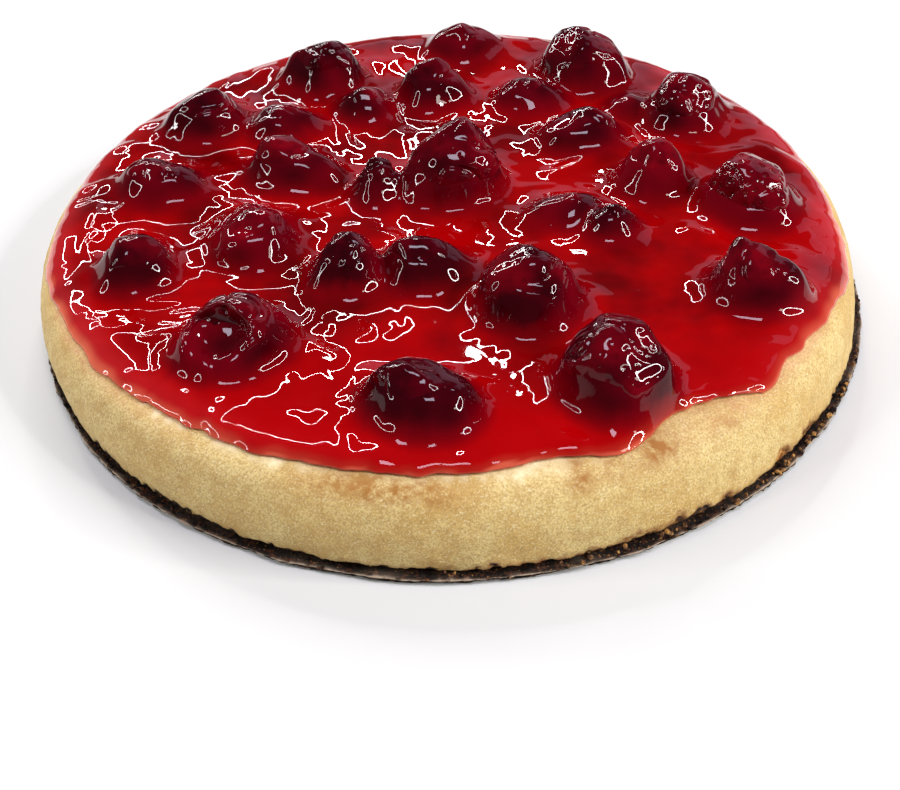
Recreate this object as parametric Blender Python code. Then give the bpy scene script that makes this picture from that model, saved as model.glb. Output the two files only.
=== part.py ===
"""Whole strawberry cheesecake, uncut, in metres with +Z up and standing on z = 0.

A thin dark crumb base carries a low baked filling with a rounded shoulder. A strawberry
glaze covers the top, ends in an uneven lip on the shoulder and rises around whole berries.
Every berry is a solid of its own that rests on the filling in a hole through the glaze.
"""
import math
from collections import namedtuple

import bmesh
import bpy
from mathutils import Vector, noise

MM = 0.001

# Driving dimensions.
GAP = 0.3 * MM                   # clearance between pieces that touch
CAKE_RADIUS = 115.0 * MM         # crumb base, at its mean width
CRUST_THICKNESS = 2.3 * MM
CRUST_ROUGHNESS = 0.7 * MM       # how far the crumb edge strays in and out
CRUST_STRAY = 7.0 * MM           # length of one such stray along the edge
FILLING_DEPTH = 21.4 * MM        # from its underside to its flat top
FILLING_RADIUS = 113.6 * MM      # its wall, at mid height
FILLING_LEAN = -1.6 * MM         # the upper wall stands this far to one side
LEAN_SHARE = 0.4                 # share of the depth over which it leans that far
FILLING_ROUGHNESS = 0.35 * MM    # how far its wall strays in and out
FILLING_STRAY = 26.0 * MM        # length of one such stray along the wall
FILLING_CHANGE = 2.5             # how much the strays change from foot to top, in strays
GLAZE_FILM = 1.9 * MM            # depth of glaze between the berries
GLAZE_REACH = 106.4 * MM         # mean radius of the glaze's edge
GLAZE_LIP = 3.4 * MM             # width over which the glaze rounds off at its edge
GLAZE_ROUGHNESS = 1.1 * MM       # how far its edge strays in and out
GLAZE_STRAY = 9.0 * MM           # length of one such stray along the edge
GLAZE_PATTERN = 5.0              # which of the possible edges it is
GLAZE_WAVES = 0.22               # unevenness of its depth, as a share of the film
GLAZE_WAVE_PITCH = 22.0 * MM     # size of one wave
SHOULDER_GAP = 0.45 * MM         # extra clearance where the shoulder falls away
SHOULDER_RUN = 3.0 * MM          # width over which that clearance is reached
SKIRT_RISE = 3.6 * MM            # how high the glaze climbs a berry of full height
SKIRT_REACH = 5.5 * MM           # how far from a berry that climb starts
FULL_BERRY = 18.0 * MM           # height of a berry that gets the full climb

# Mesh densities.
WALL_COLUMNS = 84
GLAZE_RINGS = 14
BERRY_COLUMNS = 12
BERRY_RINGS = 7
SHARP_ANGLE = 40.0               # degrees between faces that stay a crease

# The crumb base's rim from the floor upwards: height as a share of its thickness, and how
# many mm inside the mean width.
CRUST_STEPS = ((0.0, 1.0), (0.45, 0.0), (0.85, 0.2), (1.0, 1.2))

# The filling's wall from the base upwards: height as a share of its depth, and how many mm
# inside the widest radius.
WALL_STEPS = (
    (0.0, 0.9), (0.08, 0.1), (0.34, 0.1), (0.55, 0.8),
    (0.72, 2.2), (0.85, 4.4), (0.94, 7.8), (1.0, 14.0),
)

# How many mm in from the glaze's edge its rings lie, on its lip and on its underside.
GLAZE_LIP_STEPS = (0.0, 0.5, 1.7)
GLAZE_UNDER_STEPS = (2.5, 5.0, 7.5)

# Stretches where the glaze reaches further out (+) or less far (-): azimuth and half-width
# in degrees, reach in mm. The narrow ones are drips that have run onto the shoulder.
Lobe = namedtuple("Lobe", "azimuth spread reach")
GLAZE_LOBES = (
    Lobe(-98.0, 40.0, -2.8), Lobe(-15.0, 14.0, 4.0), Lobe(-170.0, 12.0, 3.4),
    Lobe(-77.0, 7.0, -2.6), Lobe(-56.0, 9.0, -4.6), Lobe(24.0, 24.0, 3.4),
    Lobe(90.0, 36.0, 3.4), Lobe(158.0, 26.0, 3.2),
    Lobe(-67.0, 2.2, 3.4), Lobe(-44.5, 3.2, 3.6), Lobe(-147.0, 6.0, 1.0),
)

# Berries as they lie: place of the middle, length, width and height in mm, the heading of
# the tip in degrees, how far the crown sits from the middle as a share of the half-length
# (negative is towards the blunt end), and how peaked the crown is (1 is round).
Berry = namedtuple("Berry", "x y length width height heading crown peak")
BERRIES = (
    Berry(-73.5, 47.0, 23.0, 19.5, 16.0, 195.0, -0.30, 1.30),
    Berry(-81.5, 14.0, 24.5, 15.5, 13.0, -12.0, -0.15, 1.05),
    Berry(-38.0, 72.0, 25.5, 20.5, 18.5, -35.0, 0.30, 1.55),
    Berry(-48.5, 45.5, 20.0, 15.0, 10.5, 5.0, -0.15, 1.25),
    Berry(-44.5, 19.5, 26.5, 18.5, 14.5, -15.0, -0.40, 1.35),
    Berry(-24.8, 54.5, 15.5, 13.5, 10.5, 60.0, 0.00, 1.10),
    Berry(6.0, 91.0, 20.0, 17.0, 11.5, 10.0, -0.15, 1.20),
    Berry(-3.5, 62.5, 20.5, 18.5, 14.5, -25.0, -0.15, 1.25),
    Berry(43.0, 72.0, 30.0, 25.0, 19.0, -30.0, -0.02, 1.45),
    Berry(26.0, 57.5, 19.5, 15.0, 10.0, 15.0, 0.00, 1.20),
    Berry(38.5, 35.0, 23.5, 18.0, 12.5, 178.0, -0.30, 1.30),
    Berry(0.5, 12.0, 29.5, 26.0, 22.5, 205.0, -0.20, 1.00),
    Berry(-20.0, 8.5, 13.5, 11.5, 15.5, 250.0, 0.00, 1.25),
    Berry(57.5, 10.5, 19.0, 18.0, 17.5, 265.0, -0.10, 1.05),
    Berry(71.0, 46.5, 25.0, 22.0, 17.5, 20.0, -0.10, 1.15),
    Berry(55.0, 51.0, 9.5, 8.5, 7.0, 100.0, 0.00, 1.00),
    Berry(83.0, -1.0, 26.0, 23.0, 17.0, -45.0, -0.25, 1.05),
    Berry(32.0, -4.0, 16.0, 11.0, 9.5, 185.0, -0.20, 1.20),
    Berry(43.8, -11.0, 11.0, 10.5, 11.0, 20.0, 0.00, 1.00),
    Berry(78.0, -40.5, 25.0, 19.5, 17.5, -25.0, -0.35, 1.35),
    Berry(38.5, -76.0, 28.5, 29.0, 21.5, -80.0, -0.10, 1.05),
    Berry(19.0, -43.0, 26.5, 27.0, 20.0, 105.0, 0.20, 1.30),
    Berry(-6.5, -28.5, 23.5, 16.5, 14.0, -8.0, -0.45, 1.40),
    Berry(-28.0, -30.0, 19.0, 17.5, 16.5, 200.0, -0.40, 1.30),
    Berry(-83.0, -25.5, 21.0, 18.0, 15.0, 80.0, 0.00, 1.35),
    Berry(-53.0, -12.5, 25.5, 21.5, 13.5, 100.0, -0.10, 1.05),
    Berry(-54.0, -57.5, 30.5, 23.0, 17.5, 27.0, -0.05, 1.20),
    Berry(-8.0, -82.0, 28.5, 21.0, 17.0, -20.0, -0.20, 1.55),
)
BERRY_BELOW = 0.42               # share of a berry's height below its middle
BERRY_TAPER = 0.42               # how much narrower the tip is than the middle
BERRY_LUMPS = 0.13               # unevenness of a berry, as a share of its size
BERRY_LUMP_PITCH = 1.8           # lumps around a berry: larger is finer
BERRY_VARIETY = 3.7              # step through the lump pattern from one berry to the next
BERRY_PATTERN = 1.3              # which of the possible patterns it is
TIP_DROOP = 0.25                 # how much lower a berry is at its tip, as a share
CUT_THROUGH = 0.6 * MM           # how far a berry's cutter reaches below the berry
CUTTER_GAP = 0.35 * MM           # clearance round a berry in its hole through the glaze


def clear_scene():
    """Start from nothing."""
    for item in list(bpy.data.objects):
        bpy.data.objects.remove(item, do_unlink=True)


def food_material(name, colour, roughness):
    """A Principled material: colour is linear red, green and blue."""
    material = bpy.data.materials.new(name)
    material.use_nodes = True
    shader = material.node_tree.nodes["Principled BSDF"]
    shader.inputs["Base Color"].default_value = (*colour, 1.0)
    shader.inputs["Roughness"].default_value = roughness
    shader.inputs["Metallic"].default_value = 0.0
    return material


def add_object(name, bm, material):
    """Turn a bmesh into a named, smooth-shaded object with its normals pointing out."""
    bmesh.ops.recalc_face_normals(bm, faces=bm.faces)
    bmesh.ops.triangulate(bm, faces=bm.faces, quad_method="FIXED")
    mesh = bpy.data.meshes.new(name)
    bm.to_mesh(mesh)
    bm.free()
    mesh.shade_smooth()
    mesh.set_sharp_from_angle(angle=math.radians(SHARP_ANGLE))
    mesh.materials.append(material)
    item = bpy.data.objects.new(name, mesh)
    bpy.context.scene.collection.objects.link(item)
    return item


def stray(azimuth, step, size, seed):
    """A smooth in-and-out wander along a rim: step is its length in metres along the rim."""
    turns = CAKE_RADIUS / step
    place = Vector((math.cos(azimuth) * turns, math.sin(azimuth) * turns, seed))
    return size * noise.noise(place)


def bridge(bm, lower, upper):
    """Join two rings that have the same number of points."""
    count = len(lower)
    for i in range(count):
        j = (i + 1) % count
        bm.faces.new((lower[i], lower[j], upper[j], upper[i]))


def ring(bm, count, place):
    """A ring of points: place gives the point at an azimuth."""
    return [bm.verts.new(place(2.0 * math.pi * i / count)) for i in range(count)]


def polar(radius, azimuth, height, shift=0.0):
    """A point at a radius, an azimuth and a height, about an axis moved sideways."""
    return Vector((shift + radius * math.cos(azimuth), radius * math.sin(azimuth), height))


# ---------------------------------------------------------------- crumb base and filling

def build_crust(material):
    """The crumb base: a thin disc with a ragged rim that is widest half way up."""
    bm = bmesh.new()
    rings = []
    for share, inset in CRUST_STEPS:
        def rim(azimuth, share=share, inset=inset):
            wander = stray(azimuth, CRUST_STRAY, CRUST_ROUGHNESS, share)
            radius = CAKE_RADIUS - inset * MM + wander
            return polar(radius, azimuth, share * CRUST_THICKNESS)
        rings.append(ring(bm, WALL_COLUMNS, rim))
    for lower, upper in zip(rings, rings[1:]):
        bridge(bm, lower, upper)
    bm.faces.new(rings[0])
    bm.faces.new(rings[-1])
    return add_object("crust", bm, material)


def filling_base():
    """Height of the filling's underside."""
    return CRUST_THICKNESS + GAP


def wall_point(step, azimuth):
    """A point of the filling's wall and shoulder."""
    share, inset = step
    lean = FILLING_LEAN * min(1.0, share / LEAN_SHARE)
    wander = stray(azimuth, FILLING_STRAY, FILLING_ROUGHNESS, share * FILLING_CHANGE)
    radius = FILLING_RADIUS - inset * MM + wander
    return polar(radius, azimuth, filling_base() + share * FILLING_DEPTH, lean)


def filling_surface(radius):
    """Height of the filling's top at a distance from the upper axis."""
    steps = [(FILLING_RADIUS - inset * MM, filling_base() + share * FILLING_DEPTH)
             for share, inset in WALL_STEPS]
    if radius <= steps[-1][0]:
        return steps[-1][1]
    for (outer, low), (inner, high) in zip(steps, steps[1:]):
        if inner <= radius <= outer:
            return high + (low - high) * (radius - inner) / (outer - inner)
    return steps[2][1]


def build_filling(material):
    """The baked filling: one solid wall and shoulder, flat above and below."""
    bm = bmesh.new()
    rings = []
    for step in WALL_STEPS:
        rings.append(ring(bm, WALL_COLUMNS, lambda azimuth, step=step: wall_point(step, azimuth)))
    for lower, upper in zip(rings, rings[1:]):
        bridge(bm, lower, upper)
    bm.faces.new(rings[0])
    bm.faces.new(rings[-1])
    return add_object("filling", bm, material)


# ---------------------------------------------------------------------------- berries

def berry_rest():
    """Height of a berry's flat spot, just clear of the filling."""
    return filling_base() + FILLING_DEPTH + GAP


def berry_point(berry, direction, index, grow):
    """Where a berry's skin is in a direction from its middle, grown by a clearance."""
    along, across, up = direction
    pattern = Vector((index * BERRY_VARIETY, BERRY_PATTERN, 0.0))
    lumps = 1.0 + BERRY_LUMPS * noise.noise(direction * BERRY_LUMP_PITCH + pattern)
    tip = max(0.0, along)
    narrow = 1.0 - BERRY_TAPER * tip * tip
    half_length = berry.length * MM / 2.0 * lumps + grow
    half_width = berry.width * MM / 2.0 * lumps * narrow + grow
    half_height = berry.height * MM * (1.0 - BERRY_BELOW) * lumps * (1.0 - TIP_DROOP * tip) + grow
    crown = berry.crown * half_length * max(0.0, up) ** 2
    heading = math.radians(berry.heading)
    slimming = max(0.0, 1.0 - max(0.0, up) ** 2) ** ((berry.peak - 1.0) / 2.0)
    forward = along * half_length * slimming + crown
    sideways = across * half_width * slimming
    x = berry.x * MM + forward * math.cos(heading) - sideways * math.sin(heading)
    y = berry.y * MM + forward * math.sin(heading) + sideways * math.cos(heading)
    z = berry_rest() + berry.height * MM * BERRY_BELOW + up * half_height
    floor = berry_rest() - (CUT_THROUGH if grow else 0.0)
    return Vector((x, y, max(z, floor)))


def build_berry(name, index, material, grow=0.0):
    """One berry on its side: a ball drawn out to a tip, lumpy, with a flat spot below."""
    berry = BERRIES[index]
    bm = bmesh.new()
    top = bm.verts.new(berry_point(berry, Vector((0.0, 0.0, 1.0)), index, grow))
    bottom = bm.verts.new(berry_point(berry, Vector((0.0, 0.0, -1.0)), index, grow))
    rings = []
    for k in range(1, BERRY_RINGS):
        tilt = math.pi * k / BERRY_RINGS
        rings.append(ring(bm, BERRY_COLUMNS, lambda azimuth, tilt=tilt: berry_point(
            berry, polar(math.sin(tilt), azimuth, math.cos(tilt)), index, grow)))
    for upper, lower in zip(rings, rings[1:]):
        bridge(bm, lower, upper)
    for i in range(BERRY_COLUMNS):
        j = (i + 1) % BERRY_COLUMNS
        bm.faces.new((top, rings[0][i], rings[0][j]))
        bm.faces.new((bottom, rings[-1][j], rings[-1][i]))
    return add_object(name, bm, material)


# ------------------------------------------------------------------------------ glaze

def turn_between(first, second):
    """Smallest angle between two azimuths in degrees."""
    return abs((first - second + 180.0) % 360.0 - 180.0)


def glaze_edge(azimuth):
    """Radius of the glaze's edge at an azimuth."""
    degrees = math.degrees(azimuth)
    reach = GLAZE_REACH + stray(azimuth, GLAZE_STRAY, GLAZE_ROUGHNESS, GLAZE_PATTERN)
    for lobe in GLAZE_LOBES:
        away = turn_between(degrees, lobe.azimuth) / lobe.spread
        reach += lobe.reach * MM * math.exp(-away * away)
    return reach


def glaze_climb(x, y):
    """How far the glaze climbs at a place because of the berries near it."""
    total = 0.0
    for berry in BERRIES:
        heading = math.radians(berry.heading)
        dx = x - berry.x * MM
        dy = y - berry.y * MM
        along = (dx * math.cos(heading) + dy * math.sin(heading)) / (berry.length * MM / 2.0)
        across = (dy * math.cos(heading) - dx * math.sin(heading)) / (berry.width * MM / 2.0)
        outside = max(0.0, math.hypot(along, across) - 1.0) * berry.width * MM / 2.0
        climb = SKIRT_RISE * min(1.0, berry.height * MM / FULL_BERRY)
        total += (climb * math.exp(-(outside / SKIRT_REACH) ** 2)) ** 3
    return total ** (1.0 / 3.0)


def glaze_depth(x, y, from_edge):
    """Depth of the glaze at a place, rounded off to nothing at its edge."""
    waves = noise.noise(Vector((x, y, 0.0)) / GLAZE_WAVE_PITCH)
    depth = GLAZE_FILM * (1.0 + GLAZE_WAVES * waves) + glaze_climb(x, y)
    inward = min(1.0, max(0.0, from_edge / GLAZE_LIP))
    return depth * math.sqrt(1.0 - (1.0 - inward) ** 2)


def glaze_bottom(radius):
    """Height of the glaze's underside, a little clearer of the filling on the shoulder."""
    flat = FILLING_RADIUS - WALL_STEPS[-1][1] * MM
    out = min(1.0, max(0.0, radius - flat) / SHOULDER_RUN)
    return filling_surface(radius) + GAP + SHOULDER_GAP * out


def glaze_top_point(azimuth, from_edge):
    """A point of the glaze's upper skin, a distance in from its edge."""
    radius = glaze_edge(azimuth) - from_edge
    flat = polar(radius, azimuth, 0.0, FILLING_LEAN)
    flat.z = glaze_bottom(radius) + glaze_depth(flat.x, flat.y, from_edge)
    return flat


def glaze_bottom_point(azimuth, from_edge):
    """A point of the glaze's underside, a distance in from its edge."""
    radius = glaze_edge(azimuth) - from_edge
    return polar(radius, azimuth, glaze_bottom(radius), FILLING_LEAN)


def fill_between(bm, inner, outer):
    """Triangles between two rings about one axis whose numbers of points differ."""
    i = 0
    j = 0
    while i < len(inner) or j < len(outer):
        here_in = inner[i % len(inner)]
        here_out = outer[j % len(outer)]
        if (j + 0.5) * len(inner) <= (i + 0.5) * len(outer) and j < len(outer):
            bm.faces.new((here_in, here_out, outer[(j + 1) % len(outer)]))
            j += 1
        else:
            bm.faces.new((here_in, here_out, inner[(i + 1) % len(inner)]))
            i += 1


def build_glaze(material):
    """The glaze as poured: its upper skin, its lip and its underside, without holes."""
    rim_count = 6 * GLAZE_RINGS
    bm = bmesh.new()
    upper = []
    for inset in GLAZE_LIP_STEPS:
        upper.append(ring(bm, rim_count, lambda a, inset=inset: glaze_top_point(a, inset * MM)))
    for outer, inner in zip(upper, upper[1:]):
        bridge(bm, outer, inner)
    outer = upper[-1]
    for k in range(GLAZE_RINGS - 1, 0, -1):
        share = k / GLAZE_RINGS
        inner = ring(bm, 6 * k, lambda a, share=share: glaze_top_point(
            a, GLAZE_LIP + (1.0 - share) * (glaze_edge(a) - GLAZE_LIP)))
        fill_between(bm, inner, outer)
        outer = inner
    middle = bm.verts.new(glaze_top_point(0.0, glaze_edge(0.0)))
    for i in range(len(outer)):
        bm.faces.new((outer[i], outer[(i + 1) % len(outer)], middle))
    lower = [upper[0]]
    for inset in GLAZE_UNDER_STEPS:
        lower.append(ring(bm, rim_count, lambda a, inset=inset: glaze_bottom_point(a, inset * MM)))
    for outer, inner in zip(lower, lower[1:]):
        bridge(bm, outer, inner)
    bm.faces.new(lower[-1])
    return add_object("glaze", bm, material)


def shells(bm):
    """The connected pieces of a mesh, each as a list of its faces."""
    left = set(bm.faces)
    found = []
    while left:
        piece = [left.pop()]
        for face in piece:
            for edge in face.edges:
                for other in edge.link_faces:
                    if other in left:
                        left.remove(other)
                        piece.append(other)
        found.append(piece)
    return found


def cut_berry_holes(glaze):
    """Cut a hole for every berry right through the glaze, a clearance wider than the berry."""
    cutters = bpy.data.collections.new("berry_cutters")
    for index in range(len(BERRIES)):
        cutter = build_berry("cutter", index, glaze.data.materials[0], grow=CUTTER_GAP)
        cutters.objects.link(cutter)
    cut = glaze.modifiers.new("berry_holes", "BOOLEAN")
    cut.operation = "DIFFERENCE"
    cut.operand_type = "COLLECTION"
    cut.collection = cutters
    cut.solver = "EXACT"
    bpy.context.view_layer.update()
    evaluated = glaze.evaluated_get(bpy.context.evaluated_depsgraph_get())
    mesh = bpy.data.meshes.new_from_object(evaluated)
    glaze.modifiers.clear()
    glaze.data = mesh
    for cutter in list(cutters.objects):
        bpy.data.objects.remove(cutter, do_unlink=True)
    bpy.data.collections.remove(cutters)


def drop_scraps(item):
    """Keep only the largest connected piece of a mesh."""
    bm = bmesh.new()
    bm.from_mesh(item.data)
    pieces = sorted(shells(bm), key=len)
    for piece in pieces[:-1]:
        bmesh.ops.delete(bm, geom=piece, context="FACES")
    bm.to_mesh(item.data)
    bm.free()


def centre_on_base(items):
    """Move every mesh so that the middle of the whole object's foot is at the origin."""
    points = [v.co for item in items for v in item.data.vertices]
    middle = Vector((
        (min(p.x for p in points) + max(p.x for p in points)) / 2.0,
        (min(p.y for p in points) + max(p.y for p in points)) / 2.0,
        0.0,
    ))
    for item in items:
        for vertex in item.data.vertices:
            vertex.co -= middle


def main():
    """Build the whole cake."""
    clear_scene()
    crumb = food_material("dark_crumb", (0.045, 0.022, 0.012), 0.85)
    custard = food_material("baked_filling", (0.80, 0.60, 0.27), 0.60)
    gel = food_material("strawberry_glaze", (0.48, 0.004, 0.004), 0.08)
    fruit = food_material("strawberry", (0.12, 0.004, 0.008), 0.12)
    glaze = build_glaze(gel)
    cut_berry_holes(glaze)
    drop_scraps(glaze)
    items = [build_crust(crumb), build_filling(custard), glaze]
    for index in range(len(BERRIES)):
        items.append(build_berry(f"berry_{index + 1:02d}", index, fruit))
    centre_on_base(items)


main()
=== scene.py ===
# %% [markdown]
# # A strawberry cheesecake, from its solids to its shine
# The cake comes as plain solids: a thin crumb base, a pale baked filling, a poured
# strawberry glaze and twenty-eight berries. Each cell below gives one of them the surface
# that the real food has, without changing where it is or how large it is.
# The first cell loads the solids.

# %% Load the solids
import math

import bmesh
import bpy
import numpy as np
from mathutils import Matrix, Vector, noise


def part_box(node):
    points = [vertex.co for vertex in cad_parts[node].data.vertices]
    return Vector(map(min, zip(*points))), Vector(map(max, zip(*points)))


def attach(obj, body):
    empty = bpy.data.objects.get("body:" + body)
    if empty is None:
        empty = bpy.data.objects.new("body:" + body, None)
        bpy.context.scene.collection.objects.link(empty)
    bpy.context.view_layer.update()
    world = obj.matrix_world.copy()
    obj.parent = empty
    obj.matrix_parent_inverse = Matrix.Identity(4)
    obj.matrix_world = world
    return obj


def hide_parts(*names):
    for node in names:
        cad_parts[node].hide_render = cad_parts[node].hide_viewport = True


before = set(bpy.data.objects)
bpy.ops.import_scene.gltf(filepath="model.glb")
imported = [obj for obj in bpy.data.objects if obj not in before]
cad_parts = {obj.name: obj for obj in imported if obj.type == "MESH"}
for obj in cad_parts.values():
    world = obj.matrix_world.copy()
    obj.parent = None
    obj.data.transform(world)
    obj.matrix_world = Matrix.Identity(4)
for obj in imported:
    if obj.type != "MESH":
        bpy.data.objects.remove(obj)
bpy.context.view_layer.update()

MM = 0.001
BODY = "root"

# %% [markdown]
# ## Small tools
# Node trees are written here by hand, so one helper does the repeated part: it adds a node,
# sets its properties, fills its inputs and hands back an output for the next node to use.
# Colours are picked as a screen shows them, in hex, and shaders want linear light, so one
# function turns the first into the second. The others make a material, an object and a mesh.

# %% Helpers for nodes, colours, materials and objects
FLOAT = {"data_type": "FLOAT"}
VECTOR = {"data_type": "FLOAT_VECTOR"}
COLOUR = {"data_type": "RGBA"}


def put(tree, kind, settings=None, inputs=None, output=0):
    """Add a node to a tree and give back one of its outputs.

    Settings are its properties, or one word for its operation. Inputs are a row, or named or
    numbered. A socket is linked and a value is typed in."""
    node = tree.nodes.new(kind)
    if isinstance(settings, str):
        settings = {"operation": settings}
    if isinstance(inputs, tuple):
        inputs = dict(enumerate(inputs))
    for key, value in (settings or {}).items():
        setattr(node, key, value)
    for key, value in (inputs or {}).items():
        if isinstance(value, bpy.types.NodeSocket):
            tree.links.new(value, node.inputs[key])
        else:
            node.inputs[key].default_value = value
    return node.outputs[output]


def tone(code):
    """A hex colour as a screen shows it, to linear red, green, blue and a full alpha."""
    shares = [int(code[i:i + 2], 16) / 255.0 for i in (0, 2, 4)]
    linear = [s / 12.92 if s <= 0.04045 else ((s + 0.055) / 1.055) ** 2.4 for s in shares]
    return (*linear, 1.0)


def new_material(name, sockets):
    """A material, its node tree and its shader, with plain values typed into its sockets."""
    material = bpy.data.materials.new(name)
    material.use_nodes = True
    shader = material.node_tree.nodes["Principled BSDF"]
    for label, value in sockets.items():
        shader.inputs[label].default_value = value
    return material, material.node_tree, shader


def in_scene(name, data):
    """A new object for a mesh, a lamp or a camera, linked to the scene."""
    item = bpy.data.objects.new(name, data)
    bpy.context.scene.collection.objects.link(item)
    return item


def new_mesh(name, points, faces):
    """An object made of points and faces."""
    mesh = bpy.data.meshes.new(name)
    mesh.from_pydata(points, [], faces)
    return in_scene(name, mesh)


print("a ripe red in linear light:", [round(c, 3) for c in tone("C00000")])

# %% [markdown]
# ## Camera, floor and studio light
# The camera looks down at about forty degrees from a hand's breadth above the table, as one
# looks at a cake on a counter. Its lens is given in pixels of a 900 by 790 picture, which is
# what a lens and a sensor width say between them.
# Wet gel is a mirror, so the lights matter more than the colours. Four round tubes of light
# draw closed white loops. The two behind are seen in the ripples of the gel, and the two at
# the sides are seen in the flanks of the berries and also light the wall. Two windows, one
# overhead and one at the right front, leave small pale panes on slopes that face the viewer.
# Two wide, dim panels behind give the far gel a pink haze and the far sides of the berries a
# mauve sheen. The rest of the room is dark, so that a flat film of gel shows its own red.

# %% Camera
PICTURE_WIDTH = 900.0
LENS_IN_PIXELS = 1500.0
SENSOR_WIDTH = 36.0
CAMERA_PLACE = Vector((0.0, -0.34589, 0.26235))
CAMERA_YAW = -0.0050
CAMERA_PITCH = 0.7214
CAMERA_ROLL = -0.0294


def aim(place, yaw, pitch, roll):
    """The matrix of a camera at a place, looking along +Y turned by yaw and down by pitch."""
    ahead = Vector((math.sin(yaw) * math.cos(pitch), math.cos(yaw) * math.cos(pitch), -math.sin(pitch)))
    level = ahead.cross(Vector((0.0, 0.0, 1.0))).normalized()
    above = level.cross(ahead)
    right = math.cos(roll) * level + math.sin(roll) * above
    up = math.cos(roll) * above - math.sin(roll) * level
    matrix = Matrix((right, up, -ahead)).transposed().to_4x4()
    matrix.translation = place
    return matrix


camera = in_scene("camera", bpy.data.cameras.new("camera"))
camera.data.sensor_width = SENSOR_WIDTH
camera.data.lens = LENS_IN_PIXELS / PICTURE_WIDTH * SENSOR_WIDTH
camera.matrix_world = aim(CAMERA_PLACE, CAMERA_YAW, CAMERA_PITCH, CAMERA_ROLL)
bpy.context.scene.camera = camera
print("lens", round(camera.data.lens, 1), "mm")

# %% Lights
CAKE_TOP = Vector((0.0, 0.0, 0.026))


def from_cake(azimuth, elevation, distance):
    """A place seen from the cake's top: azimuth from straight behind (+Y) round to +X."""
    a = math.radians(azimuth)
    e = math.radians(elevation)
    way = Vector((math.sin(a) * math.cos(e), math.cos(a) * math.cos(e), math.sin(e)))
    return CAKE_TOP + way * distance


def window(name, place, size, radiance, colour="FFFFFF", turn=0.0):
    """A flat lamp that faces the cake; its strength is given as the brightness of its face."""
    lamp = bpy.data.lights.new(name, "AREA")
    lamp.shape = "RECTANGLE"
    lamp.size = size[0]
    lamp.size_y = size[1]
    lamp.energy = radiance * math.pi * size[0] * size[1]
    lamp.color = tone(colour)[:3]
    item = in_scene(name, lamp)
    item.location = place
    item.rotation_mode = "QUATERNION"
    facing = (CAKE_TOP - place).to_track_quat("-Z", "Y")
    item.rotation_quaternion = facing @ Matrix.Rotation(turn, 3, "Z").to_quaternion()


def ring_light(name, azimuth, elevation, distance, reach, tube, radiance, sides=14):
    """A round tube of light made of straight lamps; reach and tube are angles seen from the cake."""
    middle = from_cake(azimuth, elevation, distance)
    facing = (CAKE_TOP - middle).to_track_quat("-Z", "Y")
    radius = distance * math.tan(math.radians(reach))
    side = 2.0 * radius * math.tan(math.pi / sides)
    depth = distance * math.radians(tube)
    for k in range(sides):
        turn = 2.0 * math.pi * k / sides
        offset = facing @ Vector((math.sin(turn) * radius, -math.cos(turn) * radius, 0.0))
        window(f"{name}_{k:02d}", middle + offset, (side, depth), radiance, turn=turn)


ring_light("back", azimuth=-14.0, elevation=38.0, distance=1.0, reach=12.5, tube=0.65, radiance=135.0)
ring_light("back_left", azimuth=-38.0, elevation=27.0, distance=1.1, reach=8.0, tube=0.6, radiance=95.0)
ring_light("right", azimuth=109.0, elevation=32.0, distance=1.2, reach=12.0, tube=1.7, radiance=94.0)
ring_light("left", azimuth=-104.0, elevation=30.0, distance=1.2, reach=12.0, tube=1.2, radiance=60.0)
window("overhead", from_cake(178.0, 76.0, 1.1), (0.36, 0.20), 23.0, "E8E5FA")
window("right_front", from_cake(128.0, 36.0, 1.2), (0.12, 0.10), 24.0, "FFFAF0")
window("back_right", from_cake(46.0, 36.0, 1.3), (0.5, 0.42), 1.0, "F4D4FA")
window("low_back", from_cake(16.0, 18.0, 1.5), (1.7, 0.55), 0.8, "F4C8E4")

ROOM_STRENGTH = 0.08
world = bpy.data.worlds.new("dim_room")
world.use_nodes = True
room = world.node_tree.nodes["Background"]
room.inputs["Color"].default_value = tone("F4F6FF")
room.inputs["Strength"].default_value = ROOM_STRENGTH
bpy.context.scene.world = world
bpy.context.scene.view_settings.view_transform = "Standard"

# %% Floor
FLOOR_REACH = 3.0
corners = [(-1, -1), (1, -1), (1, 1), (-1, 1)]
floor = new_mesh("floor", [(x * FLOOR_REACH, y * FLOOR_REACH, 0.0) for x, y in corners], [(0, 1, 2, 3)])
# Studio paper: matt, and white once it is lit.
paper = new_material("white_studio_paper", {"Base Color": tone("CDCDCA"), "Roughness": 0.9})[0]
floor.data.materials.append(paper)
print("floor", FLOOR_REACH * 2, "m wide")

# %% [markdown]
# ## Reading a turned solid back as rings
# The base and the filling were made as rings of points, one above the other. Their surfaces
# become fine ones by reading those rings back and drawing smooth curves through them, round
# each ring and up each column. That keeps the form of the solid exactly and leaves room for
# pores and crumbs between its points.

# %% Rings and curves through them
def rings_of(node, columns):
    """A turned node's rings, lowest first: an array of rings, columns and coordinates."""
    points = np.array([v.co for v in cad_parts[node].data.vertices])
    points = np.unique(points.round(6), axis=0)
    rings = []
    for height in np.unique(points[:, 2].round(5)):
        ring = points[np.abs(points[:, 2] - height) < 0.02 * MM]
        around = ring - ring.mean(axis=0)
        column = np.round(np.arctan2(around[:, 1], around[:, 0]) * columns / (2.0 * math.pi)) % columns
        rings.append(ring[np.argsort(column)])
    return np.array(rings)


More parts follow.
